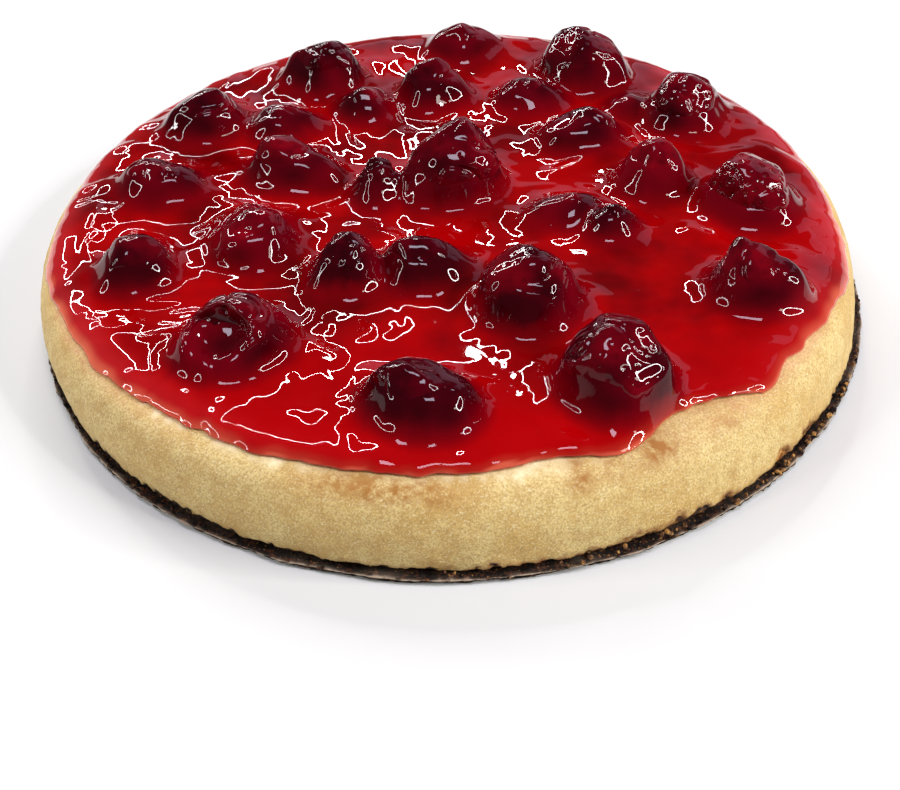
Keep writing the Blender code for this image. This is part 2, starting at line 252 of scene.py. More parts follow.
def curve_through(values, at, closed):
    """Points of a smooth curve through rows of values, at places counted in rows."""
    count = len(values)
    low = np.floor(at).astype(int)
    if not closed:
        low = np.clip(low, 0, count - 2)
    share = (at - low).reshape((-1,) + (1,) * (values.ndim - 1))

    def row(k):
        return values[k % count] if closed else values[np.clip(k, 0, count - 1)]

    a, b, c, d = row(low - 1), row(low), row(low + 1), row(low + 2)
    steep = 2.0 * a - 5.0 * b + 4.0 * c - d
    bend = 3.0 * b - a - 3.0 * c + d
    return 0.5 * (2.0 * b + (c - a) * share + steep * share ** 2 + bend * share ** 3)


def outward(grid):
    """Unit normals of a closed grid of rings, pointing away from the axis."""
    around = np.roll(grid, -1, axis=1) - np.roll(grid, 1, axis=1)
    upward = np.gradient(grid, axis=0)
    normal = np.cross(around, upward)
    return normal / np.linalg.norm(normal, axis=2, keepdims=True)


def wander(points, pitch, seed=0.0):
    """Smooth noise between -1 and 1 at points; pitch is the size of its lumps."""
    flat = points.reshape(-1, 3) / pitch + seed
    return np.array([noise.noise(Vector(p)) for p in flat]).reshape(points.shape[:-1])


def layered(points, layers):
    """Noise in several sizes, added up: layers are height, size of the lumps and seed."""
    return sum(height * wander(points, pitch, seed) for height, pitch, seed in layers)


def soft_step(low, high, value):
    """0 below low, 1 above high and a smooth slope between."""
    t = np.clip((value - low) / (high - low), 0.0, 1.0)
    return t * t * (3.0 - 2.0 * t)


def skin_object(name, rings, material):
    """A closed mesh from a grid of rings, with flat caps at both ends."""
    rows, columns = rings.shape[:2]
    index = np.arange(rows * columns).reshape(rows, columns)
    right = np.roll(index, -1, axis=1)
    quads = np.stack([index[:-1], right[:-1], right[1:], index[1:]], axis=-1).reshape(-1, 4)
    faces = quads.tolist() + [index[0][::-1].tolist(), index[-1].tolist()]
    item = new_mesh(name, rings.reshape(-1, 3).tolist(), faces)
    item.data.shade_smooth()
    item.data.materials.append(material)
    return item


def note(item, name, values):
    """Write one number for each point of a mesh, for its material to read."""
    item.data.attributes.new(name, "FLOAT", "POINT").data.foreach_set(
        "value", np.asarray(values, dtype=np.float32).ravel())


def triangles(item):
    """How many triangles a mesh has."""
    return sum(len(p.vertices) - 2 for p in item.data.polygons)


WALL_COLUMNS = 84
filling_rings = rings_of("filling", WALL_COLUMNS)
crust_rings = rings_of("crust", WALL_COLUMNS)
print("filling rings", filling_rings.shape, "crust rings", crust_rings.shape)

# %% [markdown]
# ## Baked cream cheese filling
# The side of the filling is a baked face that was lifted out of its tin: pale yellow cream,
# finely porous, slightly mottled, browned in patches where it touched the hot rim, and stained
# pink where the gel has crept under its own edge. Its lower edge is toasted and chipped, so
# that the dark crumb shows in a ragged band.
# The pores and lumps are real relief on a fine grid, and the finest grain is bump. The places
# of the browned patches and chips are given by azimuth, and written on the mesh as attributes
# that the material reads.

# %% Finish of the filling
def lumps_in(tree, place, pitch, low, high, detail=3.0):
    """Soft lumps of a size in millimetres: 0 to 1 as their noise climbs from low to high."""
    lumps = put(tree, "ShaderNodeTexNoise", {}, {
        "Vector": place, "Scale": 1.0 / (pitch * MM), "Detail": detail})
    return put(tree, "ShaderNodeMapRange", {}, {"Value": lumps, "From Min": low, "From Max": high})


def mottled(tree, place, colour, layers, detail=3.0):
    """A colour with lumps of other shades in it: layers are size, low, high and shade."""
    for pitch, low, high, shade in layers:
        share = lumps_in(tree, place, pitch, low, high, detail)
        colour = put(tree, "ShaderNodeMix", COLOUR, {0: share, 6: colour, 7: tone(shade)}, 2)
    return colour


def marked(tree, name, most):
    """How strongly the mesh is marked by one of its attributes, times the most it may reach."""
    mark = put(tree, "ShaderNodeAttribute", {"attribute_name": name}, {}, "Fac")
    return put(tree, "ShaderNodeMath", "MULTIPLY", (mark, most))


def baked_cream_cheese():
    """Baked custard: a fine-pored, half-matt crumb, pale yellow where it was not browned."""
    material, tree, shader = new_material("baked_cream_cheese", {
        "Roughness": 0.62, "Specular IOR Level": 0.3})
    place = put(tree, "ShaderNodeTexCoord", {}, {}, "Object")
    colour = mottled(tree, place, tone("CFB779"), (
        (16.0, 0.42, 0.62, "C19F5C"), (4.0, 0.45, 0.75, "B89657"),
        (0.55, 0.38, 0.72, "A5844A"), (0.45, 0.55, 0.75, "D9CBA0")))
    blotch = put(tree, "ShaderNodeTexNoise", {}, {
        "Vector": place, "Scale": 1.0 / (2.2 * MM), "Detail": 6.0})
    crumb = mottled(tree, place, tone("100806"), ((1.2, 0.45, 0.65, "4A2812"),))
    toasted = mottled(tree, place, tone("6A3C14"), ((1.2, 0.45, 0.65, "C98A3A"),))
    golden = put(tree, "ShaderNodeAttribute", {"attribute_name": "golden"}, {}, "Fac")
    crumb = put(tree, "ShaderNodeMix", COLOUR, {0: golden, 6: crumb, 7: toasted}, 2)
    for name, low, high, shade in (
            ("cream_line", 0.20, 0.60, tone("EADBB2")),
            ("browning", 0.28, 0.60, tone("966424")),
            ("pink_stain", 0.20, 0.65, tone("CA7F6A")),
            ("toasted_edge", 0.30, 0.58, tone("85552A")),
            ("bare_crumb", 0.00, 0.01, crumb)):
        uneven = put(tree, "ShaderNodeMapRange", {}, {
            "Value": blotch, "From Min": low, "From Max": high})
        share = marked(tree, name, uneven)
        colour = put(tree, "ShaderNodeMix", COLOUR, {0: share, 6: colour, 7: shade}, 2)
    fine = put(tree, "ShaderNodeTexNoise", {}, {
        "Vector": place, "Scale": 1.0 / (0.6 * MM), "Detail": 2.0, "Roughness": 0.6})
    pores = put(tree, "ShaderNodeBump", {}, {"Strength": 0.5, "Distance": 0.3 * MM, "Height": fine})
    tree.links.new(colour, shader.inputs["Base Color"])
    tree.links.new(pores, shader.inputs["Normal"])
    return material


print(baked_cream_cheese().name)

# %% Marks round the filling
# Each mark is an azimuth and a half-width in degrees, and a strength or a height in mm.
BROWNED = ((-107.0, 4.0, 0.6), (-100.0, 5.0, 1.0), (-93.0, 4.0, 0.75), (-74.8, 1.3, 1.2),
           (-70.0, 2.5, 0.6), (-63.5, 2.6, 1.3), (-53.0, 3.0, 0.6), (-150.0, 5.0, 0.3),
           (140.0, 12.0, 0.7))
CHIPPED = ((-158.0, 3.0, 1.2), (-150.0, 3.0, 1.6), (-141.0, 3.5, 2.6), (-131.5, 6.0, 2.4),
           (-121.0, 4.0, 1.9), (-107.0, 5.0, 0.7), (-67.6, 1.7, 1.8), (-62.9, 1.5, 2.4),
           (-57.5, 2.4, 1.5), (-43.8, 2.2, 3.4), (-38.0, 2.0, 2.0), (-28.0, 6.0, 1.0),
           (60.0, 9.0, 1.6), (150.0, 14.0, 1.4))
GOLDEN = ((-88.0, 7.0, 0.10), (-73.0, 4.0, 0.35), (-64.5, 2.5, 0.5), (-52.0, 4.0, 0.2),
          (-45.0, 1.6, 1.0), (-38.0, 4.0, 0.5), (-28.0, 5.0, 0.2), (60.0, 8.0, 0.4),
          (150.0, 12.0, 0.2))
TOASTED = ((-66.0, 34.0, 0.9), (60.0, 40.0, 0.6), (150.0, 30.0, 0.5))
CREAMY = ((-128.0, 36.0, 1.0), (-84.0, 12.0, 0.6), (100.0, 60.0, 0.6))
STAINED = ((-168.0, 26.0, 0.8), (-20.0, 30.0, 0.7), (90.0, 70.0, 0.5))


def at_azimuths(azimuth, spots):
    """The sum of rounded humps round the cake: spots are azimuth, half-width and height."""
    total = np.zeros_like(azimuth)
    for middle, spread, height in spots:
        away = (azimuth - middle + 180.0) % 360.0 - 180.0
        total += height * np.exp(-(away / spread) ** 2)
    return total


print("marks:", len(BROWNED), "browned,", len(CHIPPED), "chipped,", len(GOLDEN), "golden")

# %% The filling's fine surface
FINE_COLUMNS = 1200
# From ring, to ring and how many fine rows: the foot, its bevel, and the wall with its shoulder.
FILLING_ROWS = ((0, 1, 9), (1, 2, 17), (2, 7, 31))
# Height in mm, size and seed of each noise. The chipped edge strays along the rim and, finer,
# in single crumbs. The wall has broad lumps.
EDGE_STRAYS = ((1.2, 0.045, 3.0), (1.0, 0.018, 5.0))
EDGE_CRUMBS = ((1.7, 2.3 * MM, 13.0), (0.8, 1.1 * MM, 19.0))
WALL_LUMPS = ((0.30, 9.0 * MM, 0.0), (0.16, 3.2 * MM, 7.0))
EDGE_HEIGHT = 1.1          # mm of bare crumb where nothing is chipped
EDGE_SOFTNESS = 0.25       # mm over which the bare crumb ends
CHIP_SUNK = 0.8            # mm that the bare crumb lies back
WALL_SUNK = 0.3            # mm kept free for the lumps
PORE_DEPTH = 0.16
PORE_SIZE = 1.3 * MM
BROWNED_HEIGHT = 19.6      # mm above the filling's foot
BROWNED_SPREAD = 1.8


def fine_grid(rings, rows):
    """Smooth curves through a solid's rings, round them and up them."""
    columns = np.arange(FINE_COLUMNS) * WALL_COLUMNS / FINE_COLUMNS
    wide = curve_through(rings.transpose(1, 0, 2), columns, True).transpose(1, 0, 2)
    grid = curve_through(wide, rows, False)
    return grid, outward(grid)


def make_filling(material):
    """The filling's wall and shoulder with lumps, pores and a chipped lower edge."""
    rows = np.unique(np.concatenate([np.linspace(*span) for span in FILLING_ROWS]))
    grid, normal = fine_grid(filling_rings, rows)
    azimuth = np.degrees(np.arctan2(grid[..., 1], grid[..., 0]))
    height = (grid[..., 2] - grid[0, 0, 2]) / MM
    rim = np.stack([np.cos(np.radians(azimuth)), np.sin(np.radians(azimuth)), 0 * azimuth], -1)
    ragged = EDGE_HEIGHT + at_azimuths(azimuth, CHIPPED) * (0.75 + 0.6 * wander(rim, 0.06))
    ragged += layered(rim, EDGE_STRAYS) + layered(grid, EDGE_CRUMBS)
    bare = soft_step(EDGE_SOFTNESS, -EDGE_SOFTNESS, height - ragged)
    pores = -PORE_DEPTH * np.maximum(0.0, wander(grid, PORE_SIZE, 11.0))
    crumbly = -CHIP_SUNK - 0.35 * wander(grid, 1.0 * MM, 17.0)
    calm_shoulder = 1.0 - 0.9 * soft_step(13.0, 19.0, height)
    push = (layered(grid, WALL_LUMPS) - WALL_SUNK) * calm_shoulder + pores
    grid = grid + normal * ((push * (1.0 - bare) + crumbly * bare) * MM)[..., None]
    item = skin_object("filling_body", grid, material)
    note(item, "bare_crumb", bare)
    note(item, "golden", np.clip(at_azimuths(azimuth, GOLDEN), 0.0, 1.0))
    streak = BROWNED_HEIGHT + 0.9 * wander(rim, 0.06, 8.0)
    band = np.exp(-((height - streak) / BROWNED_SPREAD) ** 2)
    note(item, "browning", np.clip(at_azimuths(azimuth, BROWNED) * band, 0.0, 1.0))
    toast = np.clip(0.25 + at_azimuths(azimuth, TOASTED), 0.0, 1.0)
    note(item, "toasted_edge", toast * soft_step(2.4, 0.3, height - ragged))
    cream = np.clip(at_azimuths(azimuth, CREAMY), 0.0, 1.0)
    note(item, "cream_line", cream * soft_step(20.1, 21.1, height + wander(rim, 0.03, 9.0)))
    note(item, "pink_stain", at_azimuths(azimuth, STAINED) * soft_step(17.5, 21.0, height))
    return item


filling = make_filling(baked_cream_cheese())
print("filling:", triangles(filling), "triangles")

# %% [markdown]
# ## Crumb base
# The base is a thin disc of dark pressed crumb. From the side it is a rough, nearly black
# band, split along its middle by a thin pale line where a layer has lifted. The same rings
# are refined, and crumbs a millimetre wide are pushed in and out of the rim.

# %% The base's fine surface
def pressed_dark_crumb():
    """Dark biscuit crumb pressed into a disc: matt, nearly black, with tan grains."""
    material, tree, shader = new_material("pressed_dark_crumb", {
        "Roughness": 0.8, "Specular IOR Level": 0.15})
    place = put(tree, "ShaderNodeTexCoord", {}, {}, "Object")
    colour = mottled(tree, place, tone("0C0605"), (
        (1.3, 0.50, 0.62, "3E2010"), (0.8, 0.62, 0.72, "96693C")))
    share = marked(tree, "split_line", lumps_in(tree, place, 3.0, 0.34, 0.48))
    colour = put(tree, "ShaderNodeMix", COLOUR, {0: share, 6: colour, 7: tone("A8947F")}, 2)
    fine = put(tree, "ShaderNodeTexNoise", {}, {
        "Vector": place, "Scale": 1.0 / (0.8 * MM), "Detail": 3.0})
    rough = put(tree, "ShaderNodeBump", {}, {"Strength": 0.8, "Distance": 0.4 * MM, "Height": fine})
    tree.links.new(colour, shader.inputs["Base Color"])
    tree.links.new(rough, shader.inputs["Normal"])
    return material


CRUST_ROWS = (0, 3, 22)    # from ring, to ring and how many fine rows
CRUST_LUMPS = ((0.6, 1.3 * MM, 0.0), (0.4, 3.5 * MM, 5.0))
CRUST_SUNK = 0.55          # mm kept free for the crumbs
SPLIT_HEIGHT = 1.9
SPLIT_SPREAD = 0.22
SPLIT_PROUD = 0.35


def make_crust(material):
    """The crumb base with a rough rim and a split line that wanders along it."""
    grid, normal = fine_grid(crust_rings, np.linspace(*CRUST_ROWS))
    height = grid[..., 2] / MM
    split = SPLIT_HEIGHT + 0.2 * wander(grid * (1.0, 1.0, 0.0), 11.0 * MM, 2.0)
    line = np.exp(-((height - split) / SPLIT_SPREAD) ** 2)
    rough = layered(grid, CRUST_LUMPS) - CRUST_SUNK + SPLIT_PROUD * line
    grid = grid + normal * (np.minimum(rough, -0.02) * MM)[..., None]
    grid[0, :, 2] = 0.0
    item = skin_object("crumb_base", grid, material)
    note(item, "split_line", line)
    return item


crust = make_crust(pressed_dark_crumb())
print("crumb base:", triangles(crust), "triangles")

# %% [markdown]
# ## Loose crumbs
# Where the lower edge is chipped, crumbs a millimetre wide hang in the gap between the filling
# and its base. A Geometry Nodes tree strews them over a narrow band round the cake, as densely
# as the chips are deep there, each turned its own way. It runs twice: once for the dark crumb
# of the base and once for the golden crumb that browned in the tin.

# %% A tree for crumbs
def new_tree(name, inputs):
    """A Geometry Nodes tree, its named inputs to link from, and its result to link to."""
    tree = bpy.data.node_groups.new(name, "GeometryNodeTree")
    tree.interface.new_socket("Geometry", in_out="INPUT", socket_type="NodeSocketGeometry")
    for label, kind, default in inputs:
        socket = tree.interface.new_socket(label, in_out="INPUT", socket_type=kind)
        if default is not None:
            socket.default_value = default
    tree.interface.new_socket("Geometry", in_out="OUTPUT", socket_type="NodeSocketGeometry")
    given = tree.nodes.new("NodeGroupInput").outputs
    result = tree.nodes.new("NodeGroupOutput").inputs["Geometry"]
    return tree, given, result


def evaluated_mesh(item):
    """The mesh of an object with its modifiers worked out."""
    bpy.context.view_layer.update()
    return bpy.data.meshes.new_from_object(item.evaluated_get(bpy.context.evaluated_depsgraph_get()))


def run_tree(item, tree, values):
    """Put a tree on an object, fill its inputs by identifier and keep the mesh it makes."""
    step = item.modifiers.new(tree.name, "NODES")
    step.node_group = tree
    names = {s.name: s.identifier for s in tree.interface.items_tree if s.in_out == "INPUT"}
    for label, value in values.items():
        step[names[label]] = value
    item.data = evaluated_mesh(item)
    item.modifiers.clear()
    return item


def strewn_tree():
    """Strew small rough lumps over faces, as densely as the attribute "strewn" says."""
    tree, given, result = new_tree("strewn_lumps", [
        ("Density", "NodeSocketFloat", 600000.0), ("Size", "NodeSocketFloat", 1.0 * MM),
        ("Smallest", "NodeSocketFloat", 0.30), ("Roundness", "NodeSocketFloat", 0.75),
        ("Seed", "NodeSocketInt", 1), ("Material", "NodeSocketMaterial", None)])
    strewn = put(tree, "GeometryNodeInputNamedAttribute", FLOAT, {"Name": "strewn"})
    density = put(tree, "ShaderNodeMath", "MULTIPLY", (strewn, given["Density"]))
    points = put(tree, "GeometryNodeDistributePointsOnFaces", {}, {
        "Mesh": given["Geometry"], "Density": density, "Seed": given["Seed"]})
    lump = put(tree, "GeometryNodeMeshIcoSphere", {}, {"Radius": 0.5, "Subdivisions": 1})
    place = put(tree, "GeometryNodeInputPosition")
    knobs = put(tree, "ShaderNodeTexNoise", {}, {"Vector": place, "Scale": 2.2}, "Color")
    knobs = put(tree, "ShaderNodeVectorMath", "SUBTRACT", (knobs, (0.5, 0.5, 0.5)))
    rough = put(tree, "GeometryNodeSetPosition", {}, {"Geometry": lump, "Offset": knobs})
    flat = put(tree, "ShaderNodeCombineXYZ", {}, {"X": 1.0, "Y": 1.0, "Z": given["Roundness"]})
    rough = put(tree, "GeometryNodeTransform", {}, {"Geometry": rough, "Scale": flat})
    turn = put(tree, "FunctionNodeRandomValue", VECTOR, {0: (0.0, 0.0, 0.0), 1: (6.28, 6.28, 6.28)})
    size = put(tree, "FunctionNodeRandomValue", FLOAT, {2: given["Smallest"], 3: 1.0, "Seed": 5}, 1)
    size = put(tree, "ShaderNodeMath", "MULTIPLY", (size, given["Size"]))
    laid = put(tree, "GeometryNodeInstanceOnPoints", {}, {
        "Points": points, "Instance": rough, "Rotation": turn, "Scale": size})
    real = put(tree, "GeometryNodeRealizeInstances", {}, {"Geometry": laid})
    dressed = put(tree, "GeometryNodeSetMaterial", {}, {
        "Geometry": real, "Material": given["Material"]})
    tree.links.new(dressed, result)
    return tree


strew = strewn_tree()
print("tree:", strew.name, "of", len(strew.nodes), "nodes")

# %% Crumbs in the chips
BAND_REACH = 114.1 * MM
BAND_LOW = 2.2 * MM
BAND_HIGH = 4.6 * MM
BAND_SIDES = 360
HIGH_SHARE = 0.3           # crumbs at the band's upper edge, as a share of those at its lower


def toasted_crumb():
    """Browned cake crumb: dry, rough and golden."""
    material, tree, shader = new_material("toasted_crumb", {"Roughness": 0.85})
    place = put(tree, "ShaderNodeTexCoord", {}, {}, "Object")
    colour = mottled(tree, place, tone("4E2C10"), ((1.5, 0.4, 0.6, "A87838"),), 2.0)
    tree.links.new(colour, shader.inputs["Base Color"])
    return material


def crumb_band(name, spots):
    """A narrow band round the foot of the filling that says where crumbs lie."""
    degrees = np.arange(BAND_SIDES) * 360.0 / BAND_SIDES
    azimuth = np.radians(degrees)
    circle = np.stack([np.cos(azimuth), np.sin(azimuth)], -1) * BAND_REACH
    low, high = (np.column_stack([circle, np.full(BAND_SIDES, z)]) for z in (BAND_LOW, BAND_HIGH))
    here = np.arange(BAND_SIDES)
    ahead = np.roll(here, -1)
    quads = np.stack([here, ahead, BAND_SIDES + ahead, BAND_SIDES + here], -1)
    item = new_mesh(name, np.vstack([low, high]).tolist(), quads.tolist())
    dense = np.clip(at_azimuths(degrees, spots), 0.0, 1.0)
    note(item, "strewn", np.concatenate([dense, HIGH_SHARE * dense]))
    return item


dark_crumbs = run_tree(crumb_band("dark_crumbs", CHIPPED), strew, {
    "Density": 350000.0, "Size": 1.3 * MM, "Material": pressed_dark_crumb()})
golden_crumbs = run_tree(crumb_band("golden_crumbs", GOLDEN), strew, {
    "Density": 900000.0, "Size": 1.9 * MM, "Seed": 4, "Material": toasted_crumb()})
print("crumbs:", triangles(dark_crumbs), "dark and", triangles(golden_crumbs), "golden triangles")

# %% [markdown]
# ## Berries, smooth
# A glazed strawberry keeps its lumpy cone under a skin of gel. The solids are coarse, so each
# is merged and rounded by subdivision. Then it gets what cooking does to a berry: soft lumps,
# a few creases where it has sunk together, slightly flattened sides and, where its cut end
# shows, the hollow of the hull.
# The seeds come next, in Geometry Nodes: points are scattered on the skins no closer than the
# real seed spacing, the skin is pressed in round each point, and a small seed is laid in each
# dimple. The trees have named inputs, so the spacing and depth can be tried by hand.

# %% Smooth berries
SUBDIVISIONS = 2
SKIN_VOXEL = 0.55 * MM
BERRY_NODES = sorted(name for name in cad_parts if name.startswith("berry_"))


def smooth_berry(node):
    """A merged and rounded copy of a berry's solid, even in the size of its faces."""
    bm = bmesh.new()
    bm.from_mesh(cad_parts[node].data)
    bmesh.ops.remove_doubles(bm, verts=bm.verts, dist=0.01 * MM)
    mesh = bpy.data.meshes.new(node + "_skin")
    bm.to_mesh(mesh)
    bm.free()
    item = in_scene(mesh.name, mesh)
    rounded = item.modifiers.new("rounded", "SUBSURF")
    rounded.levels = rounded.render_levels = SUBDIVISIONS
    even = item.modifiers.new("even", "REMESH")
    even.mode = "VOXEL"
    even.voxel_size = SKIN_VOXEL
    calm = item.modifiers.new("calm", "SMOOTH")
    calm.iterations = 12
    item.data = evaluated_mesh(item)
    item.modifiers.clear()
    return item


# Berry number: azimuth and elevation of its hull in degrees, radius and depth in mm.
HULLED = {27: (-98.0, 42.0, 9.5, 6.5)}
# Berry number: height in mm of its small lumps.
KNOBBLY = {9: 0.2, 15: 0.25, 17: 0.5, 21: 0.15}
KNOBS = 0.08
CREASE_DEPTH = 0.9
CREASE_WIDTH = 0.10
BERRY_SUNK = 0.25          # mm kept free for the lumps
FACETS = 5
FACET_START = 1.7          # radians from one berry to the next
FACET_TURN = 2.4           # radians from one flat side to the next
FACET_LOWEST = 12.0        # degrees above the level
FACET_SPAN = 60.0
FACET_KEPT = 0.82          # share of the reach that stays round
FACET_PRESSED = 0.7
FACET_SOFTNESS = 0.8 * MM


def direction(turn, rise):
    """A unit vector turned from +X and raised from the level, both in radians."""
    return np.array([math.cos(turn) * math.cos(rise), math.sin(turn) * math.cos(rise), math.sin(rise)])


def shape_berry(item, number):
    """Lumps, creases, flattened sides and, where a berry was hulled, the hollow."""
    count = len(item.data.vertices)
    points = np.empty(count * 3)
    item.data.vertices.foreach_get("co", points)
    points = points.reshape(-1, 3)
    normals = np.array([v.normal for v in item.data.vertices])
    lumps = layered(points, (
        (1.3, 9.0 * MM, number * 2.3), (KNOBBLY.get(number, KNOBS), 4.0 * MM, number * 1.9)))
    creases = -CREASE_DEPTH * np.exp(-(wander(points, 12.0 * MM, number * 3.7) / CREASE_WIDTH) ** 2)
    shaped = points + normals * ((lumps + creases - BERRY_SUNK) * MM)[:, None]
    for k in range(FACETS):
        rise = math.radians(FACET_LOWEST + FACET_SPAN * k / FACETS)
        way = direction(FACET_START * number + FACET_TURN * k, rise)
        out = (shaped - shaped.mean(axis=0)) @ way
        over = out - FACET_KEPT * out.max()
        over = 0.5 * (over + np.hypot(over, FACET_SOFTNESS))
        shaped = shaped - way * (FACET_PRESSED * over)[:, None]
    hollow = np.zeros(count)
    if number in HULLED:
        azimuth, elevation, radius, depth = HULLED[number]
        way = direction(math.radians(azimuth), math.radians(elevation))
        mouth = shaped[np.argmax((shaped - shaped.mean(axis=0)) @ way)]
        away = np.linalg.norm(shaped - mouth, axis=1) / MM
        away *= 1.0 + 0.25 * wander(shaped, 4.0 * MM, 6.0)
        hollow = soft_step(radius, 0.35 * radius, away)
        lip = 0.7 * np.exp(-((away - 1.15 * radius) / (0.3 * radius)) ** 2)
        shaped = shaped + way * ((lip - depth * hollow) * MM)[:, None]
    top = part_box(item.name.removesuffix("_skin"))[1].z
    shaped[:, 2] = np.minimum(shaped[:, 2], top)
    item.data.vertices.foreach_set("co", shaped.ravel())
    item.data.update()
    # The hollow mask keeps seeds out, and the berry material paints shade into the hollow.
    note(item, "hollow", hollow)


berries = [smooth_berry(node) for node in BERRY_NODES]
for number, berry in enumerate(berries, start=1):
    shape_berry(berry, number)
print("berries:", len(berries), "with", sum(triangles(b) for b in berries), "triangles")

# %% [markdown]
# ## Seeds and dimples
# Three small trees share one set of spots. The first scatters the spots on all the skins, the
# second presses a dimple round each spot, and the third lays a seed there, turned to the skin.

# %% Trees for seeds
def spots_tree():
    """Scatter seed spots over skins, no closer than a spacing, as loose points."""
    tree, given, result = new_tree("seed_spots", [
        ("Spacing", "NodeSocketFloat", 2.7 * MM), ("Lowest", "NodeSocketFloat", 0.0),
        ("Seed", "NodeSocketInt", 7)])
    place = put(tree, "GeometryNodeInputPosition")
    height = put(tree, "ShaderNodeSeparateXYZ", {}, {0: place}, "Z")
    above = put(tree, "FunctionNodeCompare", FLOAT | {"operation": "GREATER_THAN"}, {
        0: height, 1: given["Lowest"]})
    hollow = put(tree, "GeometryNodeInputNamedAttribute", FLOAT, {"Name": "hollow"})
    whole = put(tree, "FunctionNodeCompare", FLOAT | {"operation": "LESS_THAN"}, {0: hollow, 1: 0.1})
    seeded = put(tree, "FunctionNodeBooleanMath", "AND", (above, whole))
    scatter = put(tree, "GeometryNodeDistributePointsOnFaces", {"distribute_method": "POISSON"}, {
        "Mesh": given["Geometry"], "Distance Min": given["Spacing"],
        "Selection": seeded, "Density Max": 400000.0, "Seed": given["Seed"]}, "Points")
    facing = put(tree, "GeometryNodeStoreNamedAttribute", VECTOR | {"domain": "POINT"}, {
        "Geometry": scatter, "Name": "facing", "Value": scatter.node.outputs["Normal"]})
    points = put(tree, "GeometryNodePointsToVertices", {}, {"Points": facing})
    tree.links.new(points, result)
    return tree


def dimples_tree():
    """Press the skin in round each spot."""
    tree, given, result = new_tree("seed_dimples", [
        ("Spots", "NodeSocketObject", None), ("Depth", "NodeSocketFloat", 0.5 * MM),
        ("Width", "NodeSocketFloat", 1.3 * MM)])
    spots = put(tree, "GeometryNodeObjectInfo", {}, {"Object": given["Spots"]}, "Geometry")
    away = put(tree, "GeometryNodeProximity", {"target_element": "POINTS"}, {0: spots}, "Distance")
    inside = put(tree, "ShaderNodeMapRange", {"interpolation_type": "SMOOTHERSTEP"}, {
        "Value": away, "From Min": 0.0, "From Max": given["Width"], "To Min": 1.0, "To Max": 0.0})
    plump = put(tree, "GeometryNodeInputNamedAttribute", FLOAT, {"Name": "dimpled"})
    depth = put(tree, "ShaderNodeMath", "MULTIPLY", (inside, given["Depth"]))
    depth = put(tree, "ShaderNodeMath", "MULTIPLY", (depth, plump))
    sunk = put(tree, "ShaderNodeMath", "MULTIPLY", (depth, -1.0))
    normal = put(tree, "GeometryNodeInputNormal")
    inward = put(tree, "ShaderNodeVectorMath", "SCALE", {0: normal, "Scale": sunk})
    # The dimple mask is kept for the berry material, which paints shade into each dimple.
    kept = put(tree, "GeometryNodeStoreNamedAttribute", FLOAT | {"domain": "POINT"}, {
        "Geometry": given["Geometry"], "Name": "dimple", "Value": inside})
    moved = put(tree, "GeometryNodeSetPosition", {}, {"Geometry": kept, "Offset": inward})
    tree.links.new(moved, result)
    return tree


def seeds_tree():
    """Lay a flat little seed on each spot, turned to the skin, and make it real mesh."""
    tree, given, result = new_tree("seeds_in_dimples", [
        ("Length", "NodeSocketFloat", 1.1 * MM), ("Sunk", "NodeSocketFloat", 0.33 * MM),
        ("Material", "NodeSocketMaterial", None)])
    ball = put(tree, "GeometryNodeMeshUVSphere", {}, {"Segments": 6, "Rings": 4, "Radius": 0.5})
    slim = put(tree, "GeometryNodeTransform", {}, {"Geometry": ball, "Scale": (1.0, 0.62, 0.42)})
    facing = put(tree, "GeometryNodeInputNamedAttribute", VECTOR, {"Name": "facing"})
    turned = put(tree, "FunctionNodeAlignRotationToVector", {"axis": "Z"}, {"Vector": facing})
    size = put(tree, "FunctionNodeRandomValue", FLOAT, {2: 0.75, 3: 1.1, "Seed": 3}, 1)
    scale = put(tree, "ShaderNodeMath", "MULTIPLY", (size, given["Length"]))
    laid = put(tree, "GeometryNodeInstanceOnPoints", {}, {
        "Points": given["Geometry"], "Instance": slim, "Rotation": turned, "Scale": scale})
    down = put(tree, "ShaderNodeMath", "MULTIPLY", (given["Sunk"], -1.0))
    back = put(tree, "ShaderNodeVectorMath", "SCALE", {0: facing, "Scale": down})
    lowered = put(tree, "GeometryNodeTranslateInstances", {}, {
        "Instances": laid, "Translation": back, "Local Space": False})
    real = put(tree, "GeometryNodeRealizeInstances", {}, {"Geometry": lowered})
    dressed = put(tree, "GeometryNodeSetMaterial", {}, {
        "Geometry": real, "Material": given["Material"]})
    tree.links.new(dressed, result)
    return tree


scatter, press, lay = spots_tree(), dimples_tree(), seeds_tree()
print("trees:", [(tree.name, len(tree.nodes)) for tree in (scatter, press, lay)])

# %% [markdown]
# ## Berries with their seeds
# The spots are scattered on all the berries at once, so that none of them repeats another.
# Each berry is then pressed with its own dimples and stays an object of its own, while all
# the seeds together make one mesh. A berry cooked in gel is almost black-red where it is
# thick and crimson where light comes through, under a clear wet coat.

# %% Finish of the berries
GEL_IOR = 1.29


def ripe_patches(tree, place):
    """How ripe the skin is: the berry's own ripeness, with redder or darker cheeks."""
    whole = put(tree, "ShaderNodeAttribute", {"attribute_name": "ripeness"}, {}, "Fac")
    cheeks = put(tree, "ShaderNodeTexNoise", {}, {
        "Vector": place, "Scale": 1.0 / (15.0 * MM), "Detail": 1.0})
    cheeks = put(tree, "ShaderNodeMapRange", {}, {
        "Value": cheeks, "From Min": 0.35, "From Max": 0.65, "To Min": -0.4, "To Max": 0.6})
    return put(tree, "ShaderNodeMath", {"operation": "ADD", "use_clamp": True}, {0: whole, 1: cheeks})


